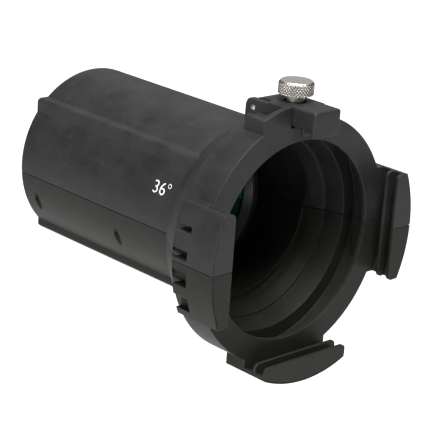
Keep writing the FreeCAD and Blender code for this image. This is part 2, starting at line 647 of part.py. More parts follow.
def latch_pads():
    """Rubber strips on the roof of each slot, which press on the frames' top edges."""
    spans = (("slot_two", "slot_one + mid_wall"), ("slot_one", "0"))
    strips = [block(f"pad_{i}", ("0 - pad_half", "pad_half"),
                    (f"pad_gap - ({front})", f"0 - ({back}) - pad_gap"),
                    ("latch_under - pad_thick", "latch_under"))
              for i, (front, back) in enumerate(spans)]
    group = doc.addObject("Part::Compound", "pad_group")
    group.Links = strips
    keep(group, "latch_pads")


def hinge_pin():
    """Pin that the latch turns on."""
    pin = doc.addObject("Part::Cylinder", "hinge_pin")
    pin.Placement = Placement(Vector(), ALONG_X)
    reach = "latch_half + cheek_gap + cheek_wall + pin_proud"
    bind(pin, Radius="pin_radius", Height=f"2 * ({reach})", x=f"0 - ({reach})", y="hinge_y", z="hinge_z")
    keep(pin, "latch_hinge_pin")


def thumb_screw():
    """Screw, washer, captive clip and threaded insert, all on the screw's axis."""
    clip_low = "clip_top - washer_thick"
    screw = turned("screw_body", "V_Axis", [
        ("0", "stem_bottom"), ("stem_radius - stem_bevel", "stem_bottom"),
        ("stem_radius", "stem_bottom + stem_bevel"),
        ("stem_radius", "neck_bottom"), ("neck_radius", "neck_bottom"), ("neck_radius", "head_bottom"),
        ("head_radius - head_bevel", "head_bottom"), ("head_radius", "head_bottom + head_bevel"),
        ("head_radius", "head_top - head_bevel"), ("head_radius - head_bevel", "head_top"),
        ("0", "head_top")], "thumb_y")
    keep(screw, "thumb_screw")
    for label, bore, radius, low, high in (
            ("thumb_screw_washer", "stem_hole", "washer_radius", "seat_floor",
             "seat_floor + washer_thick"),
            ("captive_clip", "stem_radius + running_gap", "clip_radius", clip_low, "clip_top"),
            ("latch_insert", "stem_radius + running_gap", "insert_radius", "insert_bottom", "insert_top")):
        ring = turned(label + "_body", "V_Axis", [(bore, low), (radius, low), (radius, high), (bore, high)],
                      "thumb_y")
        keep(ring, label)


# ---- optics ---------------------------------------------------------------------------------

def lens(label, face, curved):
    """Plano-convex lens: flat at face, curved towards +Y (1) or -Y (-1)."""
    sphere_radius = "(lens_radius ^ 2 + lens_crown ^ 2) / (2 * lens_crown)"
    apex = f"{face} + {curved} * (lens_edge + lens_crown)"
    span = (face, apex) if curved > 0 else (apex, face)
    blank = rod_y(label + "_blank", "lens_radius", *span)
    ball = doc.addObject("Part::Sphere", label + "_ball")
    ball.Placement = Placement(Vector(), ALONG_Y)
    bind(ball, Radius=sphere_radius, y=f"{apex} - {curved} * {sphere_radius}")
    keep(overlap(label + "_glass", [blank, ball]), label)


def lens_cell():
    """Cell that holds both lenses, with two flanges that straddle the shells' rib."""
    low, high = "rib_front - rib_gap", "rib_front + rib_thick + rib_gap"
    cell_body = turned("cell_body", "H_Axis", [
        ("cell_front", "cell_bore"), ("cell_front", "cell_radius - cell_bevel"),
        ("cell_front + cell_bevel", "cell_radius"), (f"{low} - flange_thick", "cell_radius"),
        (f"{low} - flange_thick", "flange_radius"), (low, "flange_radius"), (low, "cell_radius"),
        (high, "cell_radius"), (high, "flange_radius"), (f"{high} + flange_thick", "flange_radius"),
        (f"{high} + flange_thick", "cell_radius"), ("cell_back", "cell_radius"),
        ("cell_back", "seat_bore"), ("lip_front", "seat_bore"), ("lip_front", "cell_bore")])
    keep(cell_body, "lens_cell")


def baffle_rods(name, radius, start, end):
    """Two cylinders along Y on the axes of the baffle screws."""
    rods = [rod_y(f"{name}_{i}", radius, start, end, "baffle_screw_z") for i in range(2)]
    for rod, side in zip(rods, (-1, 1)):
        bind(rod, x=f"{side} * baffle_screw_x")
    return rods


def optics():
    """Lens cell with everything in it, and the light baffle behind it."""
    lens_cell()
    lens("front_lens", "front_lens_face", 1)
    lens("rear_lens", "rear_lens_face", -1)
    bezel_end = "cell_front + bezel_depth"
    bezel = turned("bezel_body", "H_Axis", [
        ("cell_front + bezel_inset", "bezel_rim"), ("cell_front + bezel_inset", "cell_bore - fit_gap"),
        (bezel_end, "cell_bore - fit_gap"), (bezel_end, "bezel_bore"),
        (f"{bezel_end} - bezel_land", "bezel_bore")])
    keep(bezel, "front_retaining_ring")
    for label, bore, radius, front, back in (
            ("front_cushion_ring", "cushion_bore", "lens_radius", bezel_end, "front_lens_face"),
            ("rear_cushion_ring", "rear_cushion_bore", "lens_radius", "rear_lens_face", "lip_front"),
            ("lens_spacer", "spacer_bore", "lens_radius", "front_lens_face + lens_edge + spacer_land",
             "rear_lens_face - lens_edge - spacer_land")):
        keep(ring_y(label + "_body", bore, radius, front, back), label)
    baffle_back = "baffle_front + baffle_thick"
    disc = rod_y("baffle_disc", "tube_radius - wall - fit_gap", "baffle_front", baffle_back, "tube_rise")
    start, end = f"baffle_front - {PAST}", f"{baffle_back} + {PAST}"
    holes = [rod_y("baffle_hole", "baffle_bore", start, end)]
    holes += baffle_rods("baffle_screw_hole", "baffle_slip", start, end)
    keep(cut("baffle_plate", disc, holes), "rear_light_baffle")
    heads = baffle_rods("baffle_head", "baffle_head_radius", baffle_back, f"{baffle_back} + baffle_head")
    shanks = baffle_rods("baffle_shank", "baffle_screw_radius", "baffle_front - ledge_wall", baffle_back)
    group = doc.addObject("Part::Compound", "baffle_screw_group")
    group.Links = [join(f"baffle_screw_{i}", list(pair)) for i, pair in enumerate(zip(heads, shanks))]
    keep(group, "baffle_screws")


# ---- shell screws ---------------------------------------------------------------------------

def fasteners():
    """Six shell screws and their six threaded inserts, each kind as one group."""
    screws = []
    nuts = []
    for i, (x, y) in enumerate(SCREWS):
        head = post(f"head_{i}", "screw_head_radius", x, y, "0 - screw_seat - screw_head", "0 - screw_seat")
        drive = block(f"drive_{i}", (f"{x} - drive_half", f"{x} + drive_half"),
                      (f"{y} - drive_width / 2", f"{y} + drive_width / 2"),
                      (f"0 - screw_seat - screw_head - {PAST}", "drive_depth - screw_seat - screw_head"))
        shank = post(f"shank_{i}", "screw_radius", x, y, "0 - screw_seat", "screw_tip")
        screws.append(cut(f"screw_{i}", join(f"screw_blank_{i}", [head, shank]), [drive]))
        sleeve = post(f"sleeve_{i}", "nut_radius", x, y, "nut_bottom", "nut_top")
        thread = post(f"thread_{i}", "screw_radius + thread_gap", x, y,
                      f"nut_bottom - {PAST}", f"nut_top + {PAST}")
        nuts.append(cut(f"nut_{i}", sleeve, [thread]))
    for label, members in (("shell_screws", screws), ("shell_screw_inserts", nuts)):
        group = doc.addObject("Part::Compound", label + "_group")
        group.Links = members
        keep(group, label)


def check_and_export():
    """Stop on a failed feature or an unsound shape, then write one file per sub-part."""
    failed = [item.Name for item in doc.Objects if "Invalid" in item.State or "Error" in item.State]
    if failed:
        raise SystemExit(f"features that failed: {failed}")
    os.makedirs("parts", exist_ok=True)
    for feature in PARTS:
        shape = feature.Shape
        if shape.isNull() or not shape.isValid() or not shape.Solids:
            raise SystemExit(f"{feature.Label} has no sound solid")
        shape.exportStep(os.path.join("parts", feature.Label + ".step"))
        print(f"{feature.Label:22s} solids {len(shape.Solids)}  volume {shape.Volume:10.1f}")


shells()
latch()
latch_pads()
hinge_pin()
thumb_screw()
optics()
fasteners()
doc.recompute()
check_and_export()
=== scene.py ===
import json
import logging
import math
from dataclasses import dataclass
from enum import Enum

import bmesh
import bpy
from mathutils import Matrix, Vector


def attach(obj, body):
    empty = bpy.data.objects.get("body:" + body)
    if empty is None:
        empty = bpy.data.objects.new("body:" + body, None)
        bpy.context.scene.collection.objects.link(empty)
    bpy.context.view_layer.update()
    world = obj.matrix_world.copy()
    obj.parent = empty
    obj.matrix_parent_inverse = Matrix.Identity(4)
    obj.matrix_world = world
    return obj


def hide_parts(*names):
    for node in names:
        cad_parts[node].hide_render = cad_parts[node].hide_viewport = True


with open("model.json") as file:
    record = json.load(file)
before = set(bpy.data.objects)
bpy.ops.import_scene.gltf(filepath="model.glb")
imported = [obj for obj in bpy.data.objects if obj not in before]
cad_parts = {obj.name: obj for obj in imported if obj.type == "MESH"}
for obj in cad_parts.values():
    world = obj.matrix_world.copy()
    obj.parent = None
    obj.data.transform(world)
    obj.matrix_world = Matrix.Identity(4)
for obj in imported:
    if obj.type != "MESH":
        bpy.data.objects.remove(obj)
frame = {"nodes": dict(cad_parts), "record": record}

# Lens tube of an ellipsoidal spotlight. The optical axis is the Y axis, light leaves towards -Y,
# +Z is up, and the origin is the centre of the ring's front face. Lengths are in metres.

MM = 0.001
NEAR = 0.01 * MM          # two places closer than this are the same place
MERGE = 1e-7              # points closer than this are merged
SLIVER = 1e-8             # edges shorter than this are dissolved
log = logging.getLogger("lens_tube")
Triple = tuple[float, float, float]
Colour = Triple


# ---- shader maths ---------------------------------------------------------------------------

class Wire:
    """A shader value that takes part in Python arithmetic by adding Math nodes."""

    def __init__(self, graph: "Graph", socket: bpy.types.NodeSocket) -> None:
        """Hold a socket of a graph."""
        self.graph = graph
        self.socket = socket

    def _math(self, operation: str, *values: "Wire | float") -> "Wire":
        """Add a Math node.

        Args:
            operation: the node's operation.
            values: what goes into its sockets, in order.

        Returns:
            The node's result.
        """
        node = self.graph.node("ShaderNodeMath", {"operation": operation}, dict(enumerate(values)))
        return Wire(self.graph, node.outputs[0])

    def __add__(self, other: "Wire | float") -> "Wire":
        """Sum."""
        return self._math("ADD", self, other)

    def __radd__(self, other: float) -> "Wire":
        """Sum with a number on the left."""
        return self._math("ADD", other, self)

    def __sub__(self, other: "Wire | float") -> "Wire":
        """Difference."""
        return self._math("SUBTRACT", self, other)

    def __rsub__(self, other: float) -> "Wire":
        """Difference from a number on the left."""
        return self._math("SUBTRACT", other, self)

    def __mul__(self, other: "Wire | float") -> "Wire":
        """Product."""
        return self._math("MULTIPLY", self, other)

    def __rmul__(self, other: float) -> "Wire":
        """Product with a number on the left."""
        return self._math("MULTIPLY", other, self)

    def __truediv__(self, other: "Wire | float") -> "Wire":
        """Quotient."""
        return self._math("DIVIDE", self, other)

    def __pow__(self, other: float) -> "Wire":
        """Power."""
        return self._math("POWER", self, other)

    def clamp(self) -> "Wire":
        """The value, kept between 0 and 1."""
        return self._math("MINIMUM", self._math("MAXIMUM", self, 0.0), 1.0)

    def step(self, low: float, high: float) -> "Wire":
        """A straight rise from 0 at low to 1 at high; it falls where low is above high."""
        return ((self - low) / (high - low)).clamp()


class Graph:
    """Node tree of one material, with its main shader."""

    def __init__(self, name: str) -> None:
        """Start an empty material.

        Args:
            name: the material's name.
        """
        self.material = bpy.data.materials.new(name)
        self.material.use_nodes = True
        self.tree = self.material.node_tree
        self.tree.nodes.clear()
        self.shader = self.node("ShaderNodeBsdfPrincipled")
        output = self.node("ShaderNodeOutputMaterial")
        self.tree.links.new(self.shader.outputs[0], output.inputs["Surface"])
        self.place = self.node("ShaderNodeTexCoord").outputs["Object"]

    def node(self, kind: str, settings: dict | None = None,
             values: dict | None = None) -> bpy.types.Node:
        """Add a node.

        Args:
            kind: the node's type.
            settings: its properties.
            values: numbers, colours, sockets or wires for its inputs, by name or number.

        Returns:
            The node.
        """
        node = self.tree.nodes.new(kind)
        for key, setting in (settings or {}).items():
            setattr(node, key, setting)
        for key, value in (values or {}).items():
            self.feed(node.inputs[key], value)
        return node

    def feed(self, socket: bpy.types.NodeSocket, value: object) -> None:
        """Link a socket or a wire into an input, or set the input's own value."""
        if isinstance(value, Wire):
            value = value.socket
        if isinstance(value, bpy.types.NodeSocket):
            self.tree.links.new(value, socket)
        elif socket.type == "RGBA":
            socket.default_value = (*value, 1.0)
        else:
            socket.default_value = value

    def noise(self, size: float, detail: float = 4.0, rough: float = 0.55,
              stretch: Triple = (1.0, 1.0, 1.0)) -> Wire:
        """Smooth noise about the piece.

        Args:
            size: rough width of a patch, in metres.
            detail: number of finer layers.
            rough: strength of the finer layers.
            stretch: how much shorter a patch is along X, Y and Z.

        Returns:
            The noise, around 0.5.
        """
        mapped = self.node("ShaderNodeMapping", {}, {"Vector": self.place, "Scale": stretch})
        node = self.node("ShaderNodeTexNoise", {"noise_dimensions": "3D"},
                         {"Vector": mapped.outputs[0], "Scale": 1.0 / size, "Detail": detail,
                          "Roughness": rough})
        return Wire(self, node.outputs[0])

    def cells(self, size: float, randomness: float = 1.0) -> Wire:
        """Distance to the nearest of scattered points, in cell widths."""
        node = self.node("ShaderNodeTexVoronoi", {"feature": "F1"},
                         {"Vector": self.place, "Scale": 1.0 / size, "Randomness": randomness})
        return Wire(self, node.outputs["Distance"])

    def grain(self, size: float, fine: float) -> Wire:
        """Spark-eroded grain: rounded cells with a finer roughness on them.

        Args:
            size: width of a cell, in metres.
            fine: width of the finer patches, in metres.

        Returns:
            The grain's height, around 0.4.
        """
        return self.cells(size) * 0.6 + self.noise(fine, 2.0) * 0.4

    def axes(self) -> tuple[Wire, Wire, Wire]:
        """The place on the piece along X, Y and Z, in metres."""
        split = self.node("ShaderNodeSeparateXYZ", {}, {"Vector": self.place})
        return tuple(Wire(self, socket) for socket in split.outputs)

    def blend(self, mask: Wire, below: object, above: object) -> bpy.types.NodeSocket:
        """Colour that goes from one to another with a mask."""
        node = self.node("ShaderNodeMix", {"data_type": "RGBA"}, {0: mask, 6: below, 7: above})
        return node.outputs[2]

    def edges(self, radius: float) -> tuple[bpy.types.NodeSocket, Wire]:
        """Rounded edges.

        Args:
            radius: radius of the rounding, in metres.

        Returns:
            The normal of the rounded surface, and a mask that is 1 on sharp edges.
        """
        rounded = self.node("ShaderNodeBevel", {"samples": 8}, {"Radius": radius}).outputs[0]
        plain = self.node("ShaderNodeNewGeometry").outputs["Normal"]
        dot = self.node("ShaderNodeVectorMath", {"operation": "DOT_PRODUCT"}, {0: rounded, 1: plain})
        turned = 1.0 - Wire(self, dot.outputs["Value"])
        return rounded, turned.step(0.0, 0.18)

    def bump(self, height: Wire, depth: float, normal: object = None) -> None:
        """Send a height through a Bump node to the shader.

        Args:
            height: the height, where 1 stands for depth.
            depth: depth of the relief, in metres.
            normal: the normal below the relief, or None for the surface's own.
        """
        values = {"Height": height, "Distance": depth, "Strength": 1.0}
        if normal is not None:
            values["Normal"] = normal
        node = self.node("ShaderNodeBump", {}, values)
        self.feed(self.shader.inputs["Normal"], node.outputs[0])

    def dress(self, **values: object) -> bpy.types.Material:
        """Feed the shader's inputs, by names with _ for a space, and return the material."""
        for key, value in values.items():
            self.feed(self.shader.inputs[key.replace("_", " ")], value)
        return self.material


# ---- finishes -------------------------------------------------------------------------------

@dataclass(frozen=True)
class MouldedPlastic:
    """Black moulded plastic: spark-eroded grain, worn edges, fine dust and a cloudy sheen."""

    name: str
    colour: Colour = (0.0085, 0.0085, 0.0088)
    cloud: Colour = (0.0185, 0.0185, 0.0189)
    worn: Colour = (0.045, 0.045, 0.046)
    dust: Colour = (0.16, 0.155, 0.145)
    roughness: float = 0.52
    sheen: float = 0.36
    edge: float = 0.45 * MM
    grain_size: float = 0.34 * MM
    grain_fine: float = 0.22 * MM
    grain_depth: float = 0.055 * MM
    cloud_size: float = 14 * MM

    def make(self) -> bpy.types.Material:
        """Build the material."""
        graph = Graph(self.name)
        normal, sharp = graph.edges(self.edge)
        grain = graph.grain(self.grain_size, self.grain_fine)
        cloudy = graph.noise(self.cloud_size, 5.0, 0.6)
        rubbed = graph.noise(2.2 * MM, 4.0, 0.7).step(0.42, 0.66)
        streaks = graph.noise(1.6 * MM, 3.0, 0.6, (1.0, 0.12, 1.0)).step(0.60, 0.80)
        patches = graph.noise(9 * MM, 2.0).step(0.45, 0.7)
        specks = graph.noise(0.6 * MM, 1.0).step(0.71, 0.76) * patches
        wear = (sharp * (0.35 + 0.65 * rubbed)).clamp()
        base = graph.blend(cloudy.step(0.32, 0.70), self.colour, self.cloud)
        base = graph.blend(streaks * 0.40, base, self.worn)
        base = graph.blend(specks * 0.45, base, self.dust)
        base = graph.blend(wear * 0.55, base, self.worn)
        rough = self.roughness + (cloudy - 0.5) * 0.16 + (grain - 0.4) * 0.12 - wear * 0.10
        graph.bump(grain, self.grain_depth, normal)
        return graph.dress(Base_Color=base, Roughness=rough.clamp(), Specular_IOR_Level=self.sheen,
                           IOR=1.5)


@dataclass(frozen=True)
class Metal:
    """Metal with a fine machined or plated surface."""

    name: str
    colour: Colour
    tarnish: Colour
    roughness: float
    metallic: float = 1.0
    lines: Triple = (1.0, 1.0, 14.0)
    edge: float = 0.12 * MM
    relief: float = 0.004 * MM
    coat: float = 0.0
    coat_tint: Colour = (1.0, 1.0, 1.0)

    def make(self) -> bpy.types.Material:
        """Build the material."""
        graph = Graph(self.name)
        normal, sharp = graph.edges(self.edge)
        tooling = graph.noise(0.9 * MM, 3.0, 0.6, self.lines)
        stain = graph.noise(3.5 * MM, 5.0, 0.65)
        specks = graph.noise(0.35 * MM, 1.0).step(0.68, 0.74)
        base = graph.blend(stain.step(0.46, 0.72) * 0.7, self.colour, self.tarnish)
        base = self.darken_grooves(graph, graph.blend(specks * 0.25, base, self.tarnish))
        rough = self.roughness + (tooling - 0.5) * 0.12 + (stain - 0.5) * 0.14 - sharp * 0.05
        graph.bump(tooling * 0.7 + stain * 0.3, self.relief, normal)
        return graph.dress(Base_Color=base, Roughness=rough.clamp(), Metallic=self.metallic,
                           Coat_Weight=self.coat, Coat_Roughness=0.12, Coat_Tint=self.coat_tint)

    def darken_grooves(self, graph: Graph, base: bpy.types.NodeSocket) -> bpy.types.NodeSocket:
        """Colour with darkened grooves, which plain metal doesn't have."""
        return base


@dataclass(frozen=True)
class KnurledMetal(Metal):
    """Plated metal whose knurl is coloured darker between its diamonds."""

    axis_y: float = 6.0 * MM
    root: float = 6.55 * MM
    crest: float = 6.98 * MM
    low: float = 57.6 * MM
    groove_colour: Colour = (0.17, 0.15, 0.13)

    def darken_grooves(self, graph: Graph, base: bpy.types.NodeSocket) -> bpy.types.NodeSocket:
        """Colour the grooves darker.

        Args:
            graph: the material's graph.
            base: colour of the clean metal.

        Returns:
            The colour, darker towards the bottom of the grooves.
        """
        x, y, z = graph.axes()
        off = y - self.axis_y
        radius = (x * x + off * off) ** 0.5
        # The colour darkens towards the bottom of each groove, on the knurled side of the head only.
        depth = radius.step(self.crest, self.root) ** 1.3 * z.step(self.low - 0.1 * MM, self.low)
        inner = radius.step(self.root - 0.2 * MM, self.root - 0.1 * MM)
        patchy = 0.75 + 0.25 * graph.noise(0.8 * MM, 3.0)
        return graph.blend((depth * inner * patchy).clamp(), base, self.groove_colour)


@dataclass(frozen=True)
class Elastomer:
    """Rubber or silicone, with a soft mottled skin."""

    name: str
    colour: Colour
    bloom: Colour
    roughness: float = 0.72

    def make(self) -> bpy.types.Material:
        """Build the material."""
        graph = Graph(self.name)
        normal, sharp = graph.edges(0.2 * MM)
        skin = graph.noise(0.25 * MM, 3.0)
        bloom = graph.noise(2.5 * MM, 4.0, 0.65).step(0.45, 0.75)
        base = graph.blend(bloom * 0.6 + sharp * 0.3, self.colour, self.bloom)
        graph.bump(skin, 0.02 * MM, normal)
        return graph.dress(Base_Color=base, Roughness=(self.roughness + (skin - 0.5) * 0.2).clamp())


@dataclass(frozen=True)
class CoatedGlass:
    """Lens glass with a thin teal anti-reflection coating, a little dust and wiping marks."""

    name: str = "coated lens glass"
    colour: Colour = (0.12, 0.42, 0.46)
    tint: Colour = (0.25, 0.80, 0.80)

    def make(self) -> bpy.types.Material:
        """Build the material."""
        graph = Graph(self.name)
        wiped = graph.noise(6 * MM, 4.0, 0.6, (1.0, 1.0, 0.3))
        dust = graph.noise(0.30 * MM, 1.0).step(0.72, 0.78)
        rough = 0.015 + wiped * 0.03 + dust * 0.25
        graph.bump(wiped, 0.0004 * MM)
        return graph.dress(Base_Color=graph.blend(dust * 0.2, self.colour, (0.5, 0.5, 0.48)),
                           Roughness=rough.clamp(), Transmission_Weight=1.0, IOR=1.52,
                           Coat_Weight=0.4, Coat_Roughness=0.03, Coat_IOR=1.6, Coat_Tint=self.tint)


@dataclass(frozen=True)
class PrintedInk:
    """White pad-printed ink, thin enough to show the grain below it."""

    name: str = "printed white ink"
    colour: Colour = (0.74, 0.75, 0.75)
    thin: Colour = (0.42, 0.43, 0.43)
    grain_size: float = 0.34 * MM
    grain_fine: float = 0.22 * MM
    grain_depth: float = 0.012 * MM

    def make(self) -> bpy.types.Material:
        """Build the material."""
        graph = Graph(self.name)
        grain = graph.grain(self.grain_size, self.grain_fine)
        worn = graph.noise(0.5 * MM, 3.0, 0.6).step(0.58, 0.75)
        graph.bump(grain, self.grain_depth)
        return graph.dress(Base_Color=graph.blend(worn * 0.55, self.colour, self.thin),
                           Roughness=(0.45 + (grain - 0.4) * 0.2).clamp())


class Finish(Enum):
    """Finishes of the object, named by the record's material slots."""

    MOULDED_BLACK = "moulded_black"
    BLACK_RUBBER = "black_rubber"
    STEEL = "steel"
    NICKEL = "nickel"
    BRASS = "brass"
    BLACK_METAL = "black_metal"
    COATED_GLASS = "coated_glass"
    SILICONE = "silicone"
    DARK_STEEL = "dark_steel"


class Palette:
    """Makes every finish once and hands out its material."""

    RECIPES = {
        Finish.MOULDED_BLACK: MouldedPlastic("black moulded plastic"),
        Finish.BLACK_RUBBER: Elastomer("black rubber", (0.018, 0.018, 0.018), (0.05, 0.05, 0.048)),
        Finish.STEEL: Metal("bright steel", (0.56, 0.55, 0.53), (0.33, 0.31, 0.28), 0.30),
        Finish.NICKEL: KnurledMetal("nickel plate", (0.74, 0.71, 0.66), (0.50, 0.46, 0.40), 0.36),
        Finish.BRASS: Metal("turned brass", (0.78, 0.57, 0.26), (0.45, 0.30, 0.14), 0.28),
        Finish.BLACK_METAL: Metal("black anodised metal", (0.007, 0.009, 0.009), (0.014, 0.017, 0.017),
                                  0.36, metallic=0.1, coat=0.15, coat_tint=(0.5, 0.9, 0.9)),
        Finish.COATED_GLASS: CoatedGlass(),
        Finish.SILICONE: Elastomer("grey silicone", (0.10, 0.10, 0.10), (0.18, 0.18, 0.17), 0.55),
        Finish.DARK_STEEL: Metal("blackened steel", (0.035, 0.035, 0.037), (0.02, 0.018, 0.016), 0.5),
    }

    def __init__(self) -> None:
        """Make the materials."""
        self.made = {finish: recipe.make() for finish, recipe in self.RECIPES.items()}
        # The bottom shell gets its own copy of the plastic: a slightly warmer tone of its own, and a
        # weaker sheen that paints shade onto the bottom half.
        self.lower = MouldedPlastic("black moulded plastic, lower shell", (0.0095, 0.0093, 0.0078),
                                    (0.0150, 0.0147, 0.0118), sheen=0.20).make()
        self.ink = PrintedInk().make()

    def of(self, finish: Finish) -> bpy.types.Material:
        """Material of a finish."""
        return self.made[finish]


# ---- making pieces --------------------------------------------------------------------------

class Piece:
    """Mesh of one new piece while it is made, in metres."""

    def __init__(self, name: str) -> None:
        """Start an empty mesh.

        Args:
            name: the name of the object that it becomes.
        """
        self.name = name
        self.mesh = bmesh.new()

    def spin(self, outline: list[tuple[float, float]], steps: int, axis: Vector, centre: Vector,
             up: Vector, closed: bool) -> None:
        """Turn an outline about an axis.

        Args:
            outline: (distance along the axis, radius) pairs, in millimetres.
            steps: number of faces around.
            axis: direction of the axis.
            centre: point that the distances start from.
            up: direction in which the radius is drawn.
            closed: whether the last point joins the first.
        """
        points = [self.mesh.verts.new(centre + axis * (along * MM) + up * (radius * MM))
                  for along, radius in outline]
        pairs = list(zip(points, points[1:]))
        if closed:
            pairs.append((points[-1], points[0]))
        lines = [self.mesh.edges.new(pair) for pair in pairs]
        bmesh.ops.spin(self.mesh, geom=points + lines, cent=centre, axis=axis, dvec=(0, 0, 0),
                       angle=2 * math.pi, steps=steps, use_merge=True)
        self.tidy()

    def tidy(self) -> None:
        """Merge doubled points and turn the faces outwards."""
        bmesh.ops.remove_doubles(self.mesh, verts=self.mesh.verts, dist=MERGE)
        bmesh.ops.dissolve_degenerate(self.mesh, edges=self.mesh.edges, dist=SLIVER)
        bmesh.ops.recalc_face_normals(self.mesh, faces=self.mesh.faces)

    def soften(self, width: float, angle: float = 30.0, segments: int = 2) -> None:
        """Bevel the edges that turn by more than an angle.

        Args:
            width: width of the bevel, in millimetres.
            angle: smallest turn, in degrees.
            segments: number of faces across the bevel.
        """
        sharp = [edge for edge in self.mesh.edges
                 if edge.is_manifold and edge.calc_face_angle(0.0) > math.radians(angle)]
        bmesh.ops.bevel(self.mesh, geom=sharp, offset=width * MM, offset_type="OFFSET",
                        affect="EDGES", segments=segments, profile=0.5, material=-1,
                        clamp_overlap=True)

    def carve(self, tool: "Piece") -> None:
        """Take another piece away from this one, and use the other piece up."""
        base, cutter = self.publish(smooth=False), tool.publish(smooth=False)
        change = base.modifiers.new("carve", "BOOLEAN")
        change.operation = "DIFFERENCE"
        change.object = cutter
        change.solver = "EXACT"
        graph = bpy.context.evaluated_depsgraph_get()
        self.mesh = bmesh.new()
        self.mesh.from_object(base, graph)
        for used in (base, cutter):
            bpy.data.objects.remove(used)
        self.tidy()

    def publish(self, smooth: bool = True, angle: float = 32.0) -> bpy.types.Object:
        """Turn the mesh into an object.

        Args:
            smooth: whether faces are smoothly shaded up to the angle.
            angle: largest turn that is shaded smooth, in degrees.

        Returns:
            The object, at the origin.
        """
        data = bpy.data.meshes.new(self.name)
        if smooth:
            for face in self.mesh.faces:
                face.smooth = True
            for edge in self.mesh.edges:
                edge.smooth = edge.calc_face_angle(0.0) < math.radians(angle)
        self.mesh.to_mesh(data)
        self.mesh.free()
        piece = bpy.data.objects.new(self.name, data)
        bpy.context.scene.collection.objects.link(piece)
        return piece


def settle(piece: bpy.types.Object, material: bpy.types.Material, body: str,
           nodes: tuple[str, ...] = ()) -> bpy.types.Object:
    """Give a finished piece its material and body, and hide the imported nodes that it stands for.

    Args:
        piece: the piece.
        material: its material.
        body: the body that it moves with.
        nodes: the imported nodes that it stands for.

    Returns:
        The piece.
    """
    piece.data.materials.clear()
    piece.data.materials.append(material)
    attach(piece, body)
    if nodes:
        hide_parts(*nodes)
    log.info("%s: %d faces, on %s", piece.name, len(piece.data.polygons), body)
    return piece


X, Y, Z = Vector((1, 0, 0)), Vector((0, 1, 0)), Vector((0, 0, 1))


# ---- sub-assemblies -------------------------------------------------------------------------

@dataclass
class Casing:
    """The two moulded shells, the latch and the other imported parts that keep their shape."""

    palette: Palette
    mark_text: str = "36°"
    mark_height: float = 5.2
    mark_y: float = 39.4
    mark_angle: float = 160.0
    tube_radius: float = 37.15
    tube_rise: float = 2.9
    ink_height: float = 0.03
    thinning: float = 0.07
    capital_height: float = 0.70
    longest_edge: float = 1.0

    def dress(self) -> None:
        """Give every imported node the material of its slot."""
        slots = {part["node"]: part["material_slot"] for part in frame["record"]["subparts"]}
        for name, node in frame["nodes"].items():
            finish = Finish(slots[name])
            # The bottom shell takes the copy of the plastic with painted shade.
            material = self.palette.lower if name == "lower_shell" else self.palette.of(finish)
            node.data.materials.clear()
            node.data.materials.append(material)
            log.info("%s: packed, %s", name, finish.value)

    def mark(self) -> bpy.types.Object:
        """Print the beam angle on the left of the tube, reading towards the front."""
        curve = bpy.data.curves.new("angle_mark_text", "FONT")
        curve.body = self.mark_text
        curve.size = self.mark_height * MM / self.capital_height
        curve.align_x = "CENTER"
        curve.align_y = "CENTER"
        curve.resolution_u = 8
        curve.offset = -self.thinning * MM
        text = bpy.data.objects.new("angle_mark_text", curve)
        bpy.context.scene.collection.objects.link(text)
        bpy.context.view_layer.update()
        graph = bpy.context.evaluated_depsgraph_get()
        data = bpy.data.meshes.new_from_object(text.evaluated_get(graph))
        bpy.data.objects.remove(text)
        piece = Piece("angle_mark")
        piece.mesh.from_mesh(data)
        bmesh.ops.remove_doubles(piece.mesh, verts=piece.mesh.verts, dist=MERGE)
        long_edges = [edge for edge in piece.mesh.edges if edge.calc_length() > self.longest_edge * MM]
        bmesh.ops.subdivide_edges(piece.mesh, edges=long_edges, cuts=2)
        bmesh.ops.triangulate(piece.mesh, faces=piece.mesh.faces)
        flat = list(piece.mesh.faces)
        raised = bmesh.ops.extrude_face_region(piece.mesh, geom=flat)
        top = [item for item in raised["geom"] if isinstance(item, bmesh.types.BMVert)]
        bmesh.ops.translate(piece.mesh, verts=top, vec=(0, 0, 2 * self.ink_height * MM))
        bmesh.ops.recalc_face_normals(piece.mesh, faces=piece.mesh.faces)
        for vert in piece.mesh.verts:
            radius = (self.tube_radius - self.ink_height) * MM + vert.co.z
            turn = math.radians(self.mark_angle) - vert.co.y / (self.tube_radius * MM)
            vert.co = Vector((radius * math.cos(turn), self.mark_y * MM - vert.co.x,
                              self.tube_rise * MM + radius * math.sin(turn)))
        bmesh.ops.recalc_face_normals(piece.mesh, faces=piece.mesh.faces)
        return settle(piece.publish(smooth=False), self.palette.ink, "root")


